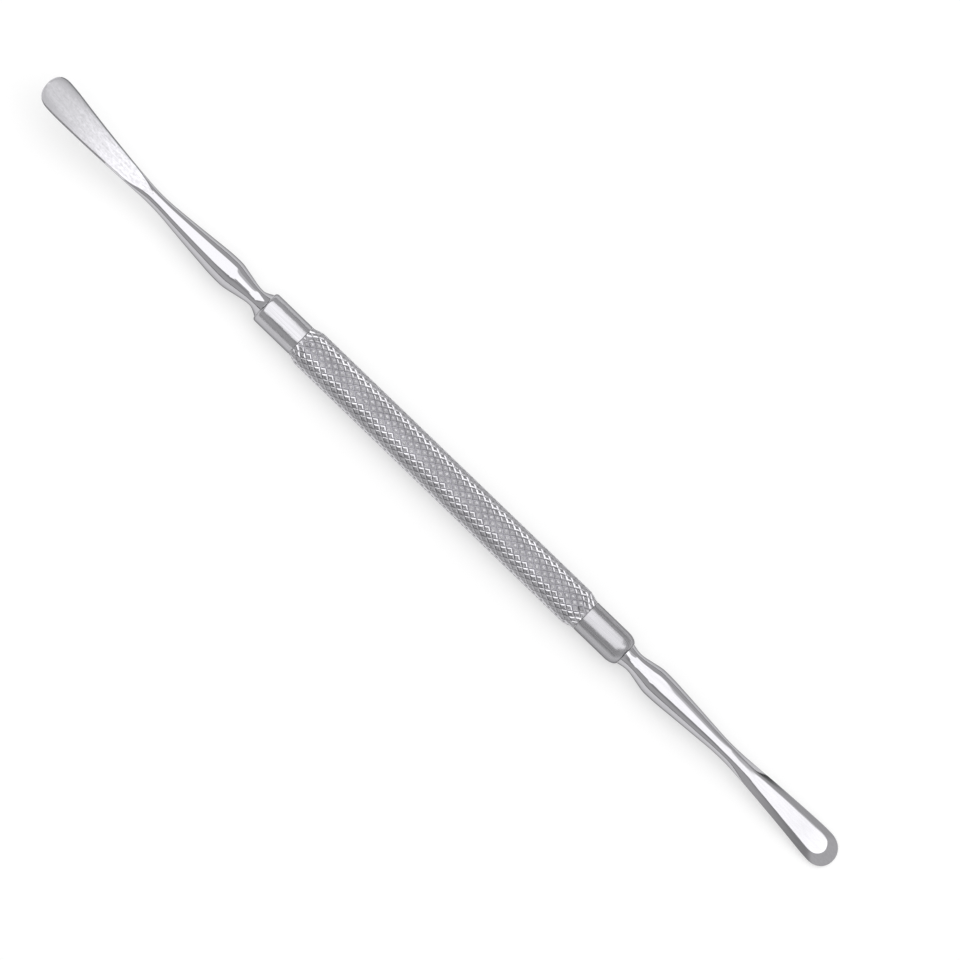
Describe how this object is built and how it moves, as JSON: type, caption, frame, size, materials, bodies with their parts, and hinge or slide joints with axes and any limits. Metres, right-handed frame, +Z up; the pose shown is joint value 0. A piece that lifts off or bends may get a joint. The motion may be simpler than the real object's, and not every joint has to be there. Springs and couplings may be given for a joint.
{
  "type": "manicure spatula",
  "caption": "Double-ended manicure spatula: a flat spatula blade and a curved pusher blade on turned shanks, held in collars at the ends of a diamond-knurled hollow handle.",
  "frame": {"origin": "half of the tool's length, on the handle's centre plane, on the surface that the tool lies on", "axes": "+X along the handle from the spatula end to the pusher end, +Z up from the surface, spatula face up"},
  "size_m": [0.1602, 0.0062, 0.0086],
  "materials": {
    "knurled_steel": "rolled diamond knurl, satin",
    "turned_steel": "turned and polished",
    "brushed_steel": "polished shank, face brushed along its length",
    "polished_steel": "mirror polished steel"
  },
  "bodies": {
    "root": {"knurled_grip": "knurled_steel", "spatula_collar": "turned_steel", "pusher_collar": "turned_steel", "spatula_blade": "brushed_steel", "pusher_blade": "polished_steel"}
  },
  "joints": []
}
